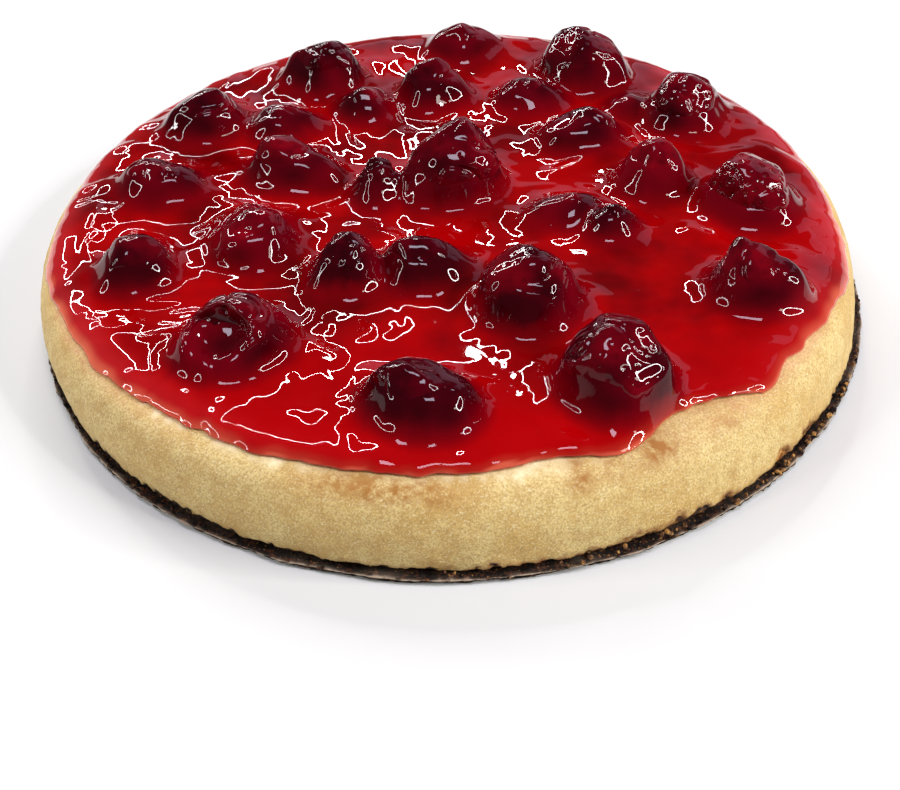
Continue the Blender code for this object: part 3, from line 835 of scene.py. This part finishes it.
def glazed_strawberry():
    """Strawberry skin under clear gel: deep maroon, crimson where it is thin, very wet, with painted
    shade in its dimples and its hull's hollow.
    """
    material, tree, shader = new_material("glazed_strawberry", {
        "Roughness": 0.4, "Specular IOR Level": 0.0, "Coat Weight": 1.0, "Coat Roughness": 0.02,
        "Coat IOR": GEL_IOR})
    place = put(tree, "ShaderNodeTexCoord", {}, {}, "Object")
    mottle = lumps_in(tree, place, 6.0, 0.35, 0.65)
    ripe = ripe_patches(tree, place)
    deep = put(tree, "ShaderNodeMix", COLOUR, {0: mottle, 6: tone("270005"), 7: tone("400009")}, 2)
    bright = put(tree, "ShaderNodeMix", COLOUR, {0: mottle, 6: tone("52000A"), 7: tone("6E020E")}, 2)
    colour = put(tree, "ShaderNodeMix", COLOUR, {0: ripe, 6: deep, 7: bright}, 2)
    # Painted shade: the skin is darkened in each seed dimple and, more strongly, in the hollow of the
    # hull.
    for name, most, shade in (("dimple", 0.30, "2A0004"), ("hollow", 0.85, "220003")):
        share = marked(tree, name, most)
        colour = put(tree, "ShaderNodeMix", COLOUR, {0: share, 6: colour, 7: tone(shade)}, 2)
    tree.links.new(colour, shader.inputs["Base Color"])
    return material


def seed_under_gel():
    """Seeds seen through red gel: dark amber, as wet as the skin round them."""
    material, tree, shader = new_material("seed_under_gel", {
        "Roughness": 0.4, "Specular IOR Level": 0.0, "Coat Weight": 1.0, "Coat Roughness": 0.05})
    place = put(tree, "ShaderNodeTexCoord", {}, {}, "Object")
    colour = mottled(tree, place, tone("3E0607"), ((3.0, 0.4, 0.6, "5C120C"),), 2.0)
    tree.links.new(colour, shader.inputs["Base Color"])
    return material


def joined_copy(name, items):
    """One object that holds the meshes of several."""
    bm = bmesh.new()
    for item in items:
        bm.from_mesh(item.data)
    mesh = bpy.data.meshes.new(name)
    bm.to_mesh(mesh)
    bm.free()
    return in_scene(name, mesh)


# %% Spots, dimples and seeds
GEL_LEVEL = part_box("filling")[1].z + 2.2 * MM
# Berry number: share of its height that the gel climbs, how red it is, how deep its dimples are.
CLIMBED_SHARE = 0.6
CLIMBED = {12: 0.5, 15: 0.4, 17: 0.25, 21: 0.65}
MOSTLY_RIPE = 0.15
RIPENESS = {1: 0.25, 3: 0.2, 5: 0.45, 9: 0.3, 12: 0.45, 14: 0.9, 15: 0.35, 17: 1.0, 20: 0.25, 21: 0.15,
            22: 0.3, 26: 0.8, 27: 0.4, 28: 0.05}
MOSTLY_DIMPLED = 0.12
DIMPLED = {3: 0.3, 9: 0.4, 12: 0.2, 15: 0.5, 17: 0.7, 20: 0.2, 21: 0.3, 28: 0.2}
for number, (berry, node) in enumerate(zip(berries, BERRY_NODES), start=1):
    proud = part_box(node)[1].z - GEL_LEVEL
    for name, value in (
            ("gel_rise", CLIMBED.get(number, CLIMBED_SHARE) * proud),
            ("ripeness", RIPENESS.get(number, MOSTLY_RIPE)),
            ("dimpled", DIMPLED.get(number, MOSTLY_DIMPLED))):
        note(berry, name, np.full(len(berry.data.vertices), value))
all_skins = joined_copy("all_skins", berries)
all_skins.data.shade_smooth()
spots = run_tree(joined_copy("spots", berries), scatter, {"Lowest": GEL_LEVEL + 1.0 * MM})
seeds = run_tree(joined_copy("berry_seeds", [spots]), lay, {"Material": seed_under_gel()})
berry_finish = glazed_strawberry()
for berry in berries:
    run_tree(berry, press, {"Spots": spots})
    berry.data.materials.clear()
    berry.data.materials.append(berry_finish)
    berry.data.shade_smooth()
bpy.data.objects.remove(spots, do_unlink=True)
print("seeds:", triangles(seeds), "triangles; skins:", sum(triangles(b) for b in berries))

# %% [markdown]
# ## Strawberry gel
# The glaze is a film of set gel two millimetres deep. It runs out in a thin, wandering lip on
# the shoulder of the filling and climbs each berry in a hollow skirt, as any wet film does.
# Its skin is never flat: it set in soft folds and a few long ridges, which is what breaks the
# lights into loops. Its red is brighter and plainer towards the front, and pink at its thin edge.
# The film starts as a square grid bent round to a disc whose rim follows the solid's edge, so
# its faces stay even from the middle to the lip. A Geometry Nodes tree then raises the skin.
# It asks how far a point is above the film and how far it is from the nearest berry, and a
# smooth minimum of the two is zero on a skin that runs from one to the other in a hollow curve.
# Each point finds that skin by halving its steps up and down. Above a share of the berry's
# height the skin dives under the berry's own, so that the two meet without an edge.

# %% The film before it climbs
GEL_GRID = 290
GEL_FILM = 1.9
RIM_COLUMNS = 84
UNDERSIDE = 0.35 * MM


def round_grid(count):
    """A square grid bent to the unit disc: the radius and the azimuth of each point."""
    side = np.linspace(-1.0, 1.0, count)
    a, b = np.meshgrid(side, side)
    wide = np.abs(a) > np.abs(b)
    radius = np.where(wide, a, b)
    safe = np.where(radius == 0.0, 1.0, radius)
    turn = np.where(wide, math.pi / 4.0 * b / safe, math.pi / 2.0 - math.pi / 4.0 * a / safe)
    x = radius * np.cos(turn)
    y = radius * np.sin(turn)
    return np.hypot(x, y), np.arctan2(y, x)


def rim_of(node, middle, columns):
    """The farthest reach of a node round its middle, at evenly spaced azimuths."""
    points = np.array([v.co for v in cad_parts[node].data.vertices]) - middle
    column = np.round(np.arctan2(points[:, 1], points[:, 0]) * columns / (2.0 * math.pi)) % columns
    reach = np.hypot(points[:, 0], points[:, 1])
    return np.array([reach[column == k].max() for k in range(columns)])


gel_middle = filling_rings[-1].mean(axis=0)
gel_rim = rim_of("glaze", gel_middle, RIM_COLUMNS)
shoulder = filling_rings.mean(axis=1) * (0.0, 0.0, 1.0)
shoulder_reach = np.hypot(*(filling_rings - gel_middle)[..., :2].transpose(2, 0, 1)).mean(axis=1)
print("gel rim from", round(gel_rim.min() / MM, 1), "to", round(gel_rim.max() / MM, 1), "mm")


def filling_height(reach):
    """Height of the filling's skin at a distance from the gel's middle."""
    return np.interp(reach, shoulder_reach[::-1][:6], shoulder[::-1, 2][:6])


# Long soft ridges, each a line of places in mm across the cake.
RIDGES = (((89.0, 30.0), (102.0, 17.5), (105.0, 1.5)), ((64.5, -12.0), (78.0, -23.0), (90.0, -24.0)),
          ((60.0, 30.0), (74.0, 24.0), (92.0, 28.0)), ((30.0, 18.0), (44.0, 24.0), (52.0, 30.0)),
          ((-100.0, 6.0), (-98.0, -14.0), (-92.0, -34.0)))
RIDGE_HEIGHT = 1.1 * MM
RIDGE_WIDTH = 2.6 * MM
RIM_STRAYS = ((0.7, 0.05, 0.0), (0.6, 0.022, 4.0))    # height in mm, size and seed
# Azimuth and half-width in degrees, and how many mm wider the lip is or how pale it is there.
LIP_WIDTH = 2.6
WIDE_LIPS = ((150.0, 75.0, 4.5), (-172.0, 20.0, 3.0), (-10.0, 26.0, 3.5))
PALE_SPOTS = ((-172.0, 44.0, 1.1), (90.0, 70.0, 0.8), (6.0, 34.0, 1.0))
BRIGHTER_FRONT = (-45.0, -80.0)      # mm along Y, from where the red starts to brighten towards the front to where it is brightest
FILM_SUNK = 0.05 * MM


def ridges_at(place):
    """Height of the long soft ridges that the gel set in, at places on the film."""
    height = np.zeros(place.shape[:-1])
    for line in RIDGES:
        nearest = np.full(height.shape, np.inf)
        for start, end in zip(line, line[1:]):
            a = np.array(start) * MM
            b = np.array(end) * MM
            share = np.clip(((place[..., :2] - a) @ (b - a)) / ((b - a) @ (b - a)), 0.0, 1.0)
            foot = a + share[..., None] * (b - a)
            nearest = np.minimum(nearest, np.linalg.norm(place[..., :2] - foot, axis=-1))
        height = np.maximum(height, RIDGE_HEIGHT * np.exp(-(nearest / RIDGE_WIDTH) ** 2))
    return height


def make_film():
    """The gel's film on the filling, before ripples and skirts."""
    share, azimuth = round_grid(GEL_GRID)
    degrees = np.degrees(azimuth)
    column = (azimuth.ravel() % (2.0 * math.pi)) * RIM_COLUMNS / (2.0 * math.pi)
    rim = curve_through(gel_rim, column, True)
    circle = np.stack([np.cos(azimuth), np.sin(azimuth), 0.0 * azimuth], -1)
    rim = rim.reshape(azimuth.shape) + layered(circle, RIM_STRAYS) * MM
    reach = share * rim
    lip = LIP_WIDTH + at_azimuths(degrees, WIDE_LIPS)
    inward = np.clip((rim - reach) / (lip * MM), 0.0, 1.0)
    depth = GEL_FILM * MM * np.sqrt(1.0 - (1.0 - inward) ** 2)
    place = circle * reach[..., None] + gel_middle * (1.0, 1.0, 0.0)
    place[..., 2] = filling_height(reach) + depth - FILM_SUNK
    place[..., 2] += ridges_at(place) * inward
    index = np.arange(GEL_GRID ** 2).reshape(GEL_GRID, GEL_GRID)
    quads = np.stack([index[:-1, :-1], index[:-1, 1:], index[1:, 1:], index[1:, :-1]], -1).reshape(-1, 4)
    item = new_mesh("gel_skin", place.reshape(-1, 3).tolist(), quads.tolist())
    pale = np.clip(at_azimuths(degrees, PALE_SPOTS), 0.0, 1.0)
    in_from_edge = (rim - reach) / MM + 1.5 * wander(circle, 0.08, 2.0)
    # The red is made brighter and plainer towards the front of the cake.
    note(item, "bright", soft_step(*BRIGHTER_FRONT, place[..., 1] / MM))
    note(item, "blush", pale * soft_step(11.0, 1.0, in_from_edge))
    thin = np.maximum(pale, 0.1) * soft_step(3.2, 0.2, in_from_edge)
    note(item, "thinness", np.maximum(thin, 0.6 * soft_step(1.1, 0.0, in_from_edge)))
    note(item, "film_share", np.sqrt(1.0 - (1.0 - inward) ** 2))
    return item


# %% The tree that raises the skin
WAVY_X = -80.0 * MM
CALM_X = 50.0 * MM


def gel_tree():
    """Ripple a film of gel and let it meet the berries in smooth hollow skirts."""
    tree, given, result = new_tree("gel_meets_berries", [
        ("Berries", "NodeSocketObject", None), ("Skirt", "NodeSocketFloat", 15.5 * MM),
        ("Cover", "NodeSocketFloat", 0.15 * MM), ("Dive", "NodeSocketFloat", 0.30),
        ("Deepest", "NodeSocketFloat", 1.3 * MM), ("Tallest", "NodeSocketFloat", 24.0 * MM),
        ("Steps", "NodeSocketInt", 16), ("Softening", "NodeSocketInt", 5),
        ("Widest Berry", "NodeSocketFloat", 9.0 * MM),
        ("Wavy Side", "NodeSocketFloat", 1.3), ("Calm Side", "NodeSocketFloat", 0.5),
        ("Ripple", "NodeSocketFloat", 2.8 * MM), ("Ripple Pitch", "NodeSocketFloat", 11.0 * MM),
        ("Fold", "NodeSocketFloat", 0.8 * MM), ("Fold Pitch", "NodeSocketFloat", 5.0 * MM)])
    place = put(tree, "GeometryNodeInputPosition")
    x = put(tree, "ShaderNodeSeparateXYZ", {}, {0: place}, "X")
    z = put(tree, "ShaderNodeSeparateXYZ", {}, {0: place}, "Z")
    share = put(tree, "GeometryNodeInputNamedAttribute", FLOAT, {"Name": "film_share"})

    # Ripples and folds, calmer on one side of the cake and none at the lip.
    waves = 0.0
    for height, pitch, twist in (("Ripple", "Ripple Pitch", 0.8), ("Fold", "Fold Pitch", 1.5)):
        scale = put(tree, "ShaderNodeMath", "DIVIDE", (1.0, given[pitch]))
        lumps = put(tree, "ShaderNodeTexNoise", {}, {
            "Vector": place, "Scale": scale, "Detail": 1.0, "Roughness": 0.4, "Distortion": twist})
        around = put(tree, "ShaderNodeMath", "SUBTRACT", (lumps, 0.5))
        waves = put(tree, "ShaderNodeMath", "MULTIPLY_ADD", (around, given[height], waves))
    side = put(tree, "ShaderNodeMapRange", {}, {
        "Value": x, "From Min": WAVY_X, "From Max": CALM_X, "To Min": given["Wavy Side"],
        "To Max": given["Calm Side"]})
    waves = put(tree, "ShaderNodeMath", "MULTIPLY", (waves, side))
    film = put(tree, "ShaderNodeMath", "MULTIPLY_ADD", (waves, share, z))
    kept = put(tree, "GeometryNodeStoreNamedAttribute", FLOAT | {"domain": "POINT"}, {
        "Geometry": given["Geometry"], "Name": "film_height", "Value": film})
    half = put(tree, "ShaderNodeMath", "MULTIPLY", (given["Tallest"], 0.5))
    lift = put(tree, "ShaderNodeCombineXYZ", {}, {"Z": half})
    middle = put(tree, "GeometryNodeSetPosition", {}, {"Geometry": kept, "Offset": lift})

    # How far a point is outside the nearest berry; inside it the gap is below zero.
    skins = put(tree, "GeometryNodeObjectInfo", {}, {"Object": given["Berries"]}, "Geometry")
    near = put(tree, "GeometryNodeProximity", {"target_element": "FACES"}, {0: skins}, "Position")
    away = put(tree, "ShaderNodeVectorMath", "SUBTRACT", (place, near))
    normal = put(tree, "GeometryNodeInputNormal")
    facing = put(tree, "GeometryNodeSampleNearestSurface", VECTOR, {"Mesh": skins, "Value": normal})
    out = put(tree, "ShaderNodeVectorMath", "DOT_PRODUCT", (away, facing), "Value")
    distance = near.node.outputs["Distance"]
    sign = put(tree, "ShaderNodeMath", "SIGN", {0: out})
    far = put(tree, "ShaderNodeMath", "GREATER_THAN", (distance, given["Widest Berry"]))
    sign = put(tree, "ShaderNodeMath", "MAXIMUM", (sign, far))
    gap = put(tree, "ShaderNodeMath", "MULTIPLY", (sign, distance))

    # The skin is where this depth is zero: on the film, on a berry, or in a skirt between them.
    rise = put(tree, "GeometryNodeInputNamedAttribute", FLOAT, {"Name": "gel_rise"})
    rise = put(tree, "GeometryNodeSampleNearestSurface", FLOAT, {"Mesh": skins, "Value": rise})
    level = put(tree, "GeometryNodeInputNamedAttribute", FLOAT, {"Name": "film_height"})
    above = put(tree, "ShaderNodeMath", "SUBTRACT", (z, level))
    over = put(tree, "ShaderNodeMath", "SUBTRACT", (above, rise))
    dive = put(tree, "ShaderNodeMath", "MULTIPLY", (over, given["Dive"]))
    dive = put(tree, "ShaderNodeMath", "MINIMUM", (dive, given["Deepest"]))
    cover = put(tree, "ShaderNodeMath", "MULTIPLY", (given["Cover"], -1.0))
    dive = put(tree, "ShaderNodeMath", "MAXIMUM", (dive, cover))
    berry = put(tree, "ShaderNodeMath", "ADD", (gap, dive))
    skirt = put(tree, "ShaderNodeMath", "MULTIPLY", (given["Skirt"], share))
    depth = put(tree, "ShaderNodeMath", "SMOOTH_MIN", (berry, above, skirt))

    # Each point goes up or down by half its last step until it is there.
    start = tree.nodes.new("GeometryNodeRepeatInput")
    end = tree.nodes.new("GeometryNodeRepeatOutput")
    start.pair_with_output(end)
    end.repeat_items.new("FLOAT", "Step")
    tree.links.new(given["Steps"], start.inputs["Iterations"])
    tree.links.new(middle, start.inputs["Geometry"])
    tree.links.new(half, start.inputs["Step"])
    step = put(tree, "ShaderNodeMath", "MULTIPLY", (start.outputs["Step"], 0.5))
    way = put(tree, "ShaderNodeMath", "SIGN", {0: depth})
    back = put(tree, "ShaderNodeMath", "MULTIPLY", (step, -1.0))
    move = put(tree, "ShaderNodeMath", "MULTIPLY", (way, back))
    shift = put(tree, "ShaderNodeCombineXYZ", {}, {"Z": move})
    moved = put(tree, "GeometryNodeSetPosition", {}, {
        "Geometry": start.outputs["Geometry"], "Offset": shift})
    tree.links.new(moved, end.inputs["Geometry"])
    tree.links.new(step, end.inputs["Step"])

    # What the material reads, and a last softening.
    found = end.outputs["Geometry"]
    ripe = put(tree, "GeometryNodeInputNamedAttribute", FLOAT, {"Name": "ripeness"})
    ripe = put(tree, "GeometryNodeSampleNearestSurface", FLOAT, {"Mesh": skins, "Value": ripe})
    for name, value in (("berry_gap", gap), ("ripeness", ripe)):
        found = put(tree, "GeometryNodeStoreNamedAttribute", FLOAT | {"domain": "POINT"}, {
            "Geometry": found, "Name": name, "Value": value})
    calm = put(tree, "GeometryNodeBlurAttribute", VECTOR, {
        0: place, "Iterations": given["Softening"]})
    smooth = put(tree, "GeometryNodeSetPosition", {}, {"Geometry": found, "Position": calm})
    tree.links.new(smooth, result)
    return tree


raise_skin = gel_tree()
print("tree:", raise_skin.name, "of", len(raise_skin.nodes), "nodes")

# %% Finish of the gel
def set_strawberry_gel():
    """Clear red gel on pale filling: pure red where it is a film, maroon over a berry, darker in a ring
    round each berry partly from deeper gel and partly as painted shade, pink at its thin edge, and as
    smooth as glass."""
    material, tree, shader = new_material("set_strawberry_gel", {
        "Roughness": 0.5, "Specular IOR Level": 0.0, "Coat Weight": 1.0, "Coat Roughness": 0.015,
        "Coat IOR": GEL_IOR})
    place = put(tree, "ShaderNodeTexCoord", {}, {}, "Object")
    colour = mottled(tree, place, tone("8A0002"), ((26.0, 0.42, 0.64, "560003"),))
    pooled = put(tree, "ShaderNodeAttribute", {"attribute_name": "bright"}, {}, "Fac")
    colour = put(tree, "ShaderNodeMix", COLOUR, {0: pooled, 6: colour, 7: tone("8F0003")}, 2)
    gap = put(tree, "ShaderNodeAttribute", {"attribute_name": "berry_gap"}, {}, "Fac")
    ripe = ripe_patches(tree, place)
    skin = put(tree, "ShaderNodeMix", COLOUR, {0: ripe, 6: tone("300006"), 7: tone("5F000C")}, 2)
    # Near a berry the gel turns maroon. Over the berry it is the berry seen through gel. Out to 8 mm in
    # the skirt it is partly deeper gel and partly painted shade round the berry.
    for low, high, shade in ((8.0 * MM, 3.0 * MM, tone("650007")), (4.0 * MM, 0.3 * MM, skin)):
        share = put(tree, "ShaderNodeMapRange", {"interpolation_type": "SMOOTHSTEP"}, {
            "Value": gap, "From Min": high, "From Max": low, "To Min": 1.0, "To Max": 0.0})
        colour = put(tree, "ShaderNodeMix", COLOUR, {0: share, 6: colour, 7: shade}, 2)
    for name, most, pink in (("blush", 0.60, "B2262A"), ("thinness", 0.95, "D36A4D")):
        share = marked(tree, name, most)
        colour = put(tree, "ShaderNodeMix", COLOUR, {0: share, 6: colour, 7: tone(pink)}, 2)
    tree.links.new(colour, shader.inputs["Base Color"])
    return material


gel_finish = set_strawberry_gel()
print(gel_finish.name, "of", len(gel_finish.node_tree.nodes), "nodes")

# %% Gel skin
def close_below(item):
    """Turn the rim of an open skin under and shut it, so that the gel is one closed body."""
    bm = bmesh.new()
    bm.from_mesh(item.data)
    rim = [e for e in bm.edges if e.is_boundary]
    for tuck in (1.5 * MM, 4.0 * MM):
        made = bmesh.ops.extrude_edge_only(bm, edges=rim)
        rim = [g for g in made["geom"] if isinstance(g, bmesh.types.BMEdge)]
        turned = {v for edge in rim for v in edge.verts}
        for vertex in turned:
            flat = Vector((vertex.co.x - gel_middle[0], vertex.co.y - gel_middle[1], 0.0))
            reach = flat.length - tuck
            flat = flat.normalized() * reach
            height = float(filling_height(reach)) - UNDERSIDE
            vertex.co = Vector((flat.x + gel_middle[0], flat.y + gel_middle[1], height))
    bmesh.ops.holes_fill(bm, edges=rim, sides=0)
    bmesh.ops.recalc_face_normals(bm, faces=bm.faces)
    bm.to_mesh(item.data)
    bm.free()


gel = make_film()
run_tree(gel, raise_skin, {"Berries": all_skins})
close_below(gel)
gel.data.shade_smooth()
gel.data.materials.append(gel_finish)
bpy.data.objects.remove(all_skins, do_unlink=True)
print("gel:", triangles(gel), "triangles")

# %% [markdown]
# ## Everything rides on the cake
# The cake has one body, so every piece rides on it, and the solid that a piece stands for
# is hidden.

# %% Riding, and hiding the solids
def serve(item, slot, *nodes):
    """Let a piece ride on the cake, in the place of its solid."""
    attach(item, BODY)
    if nodes:
        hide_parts(*nodes)


serve(filling, "filling", "filling")
serve(crust, "crumb", "crust")
serve(dark_crumbs, "crumb")
serve(golden_crumbs, "filling")
serve(gel, "glaze", "glaze")
serve(seeds, "berry")
for berry, node in zip(berries, BERRY_NODES):
    serve(berry, "berry", node)
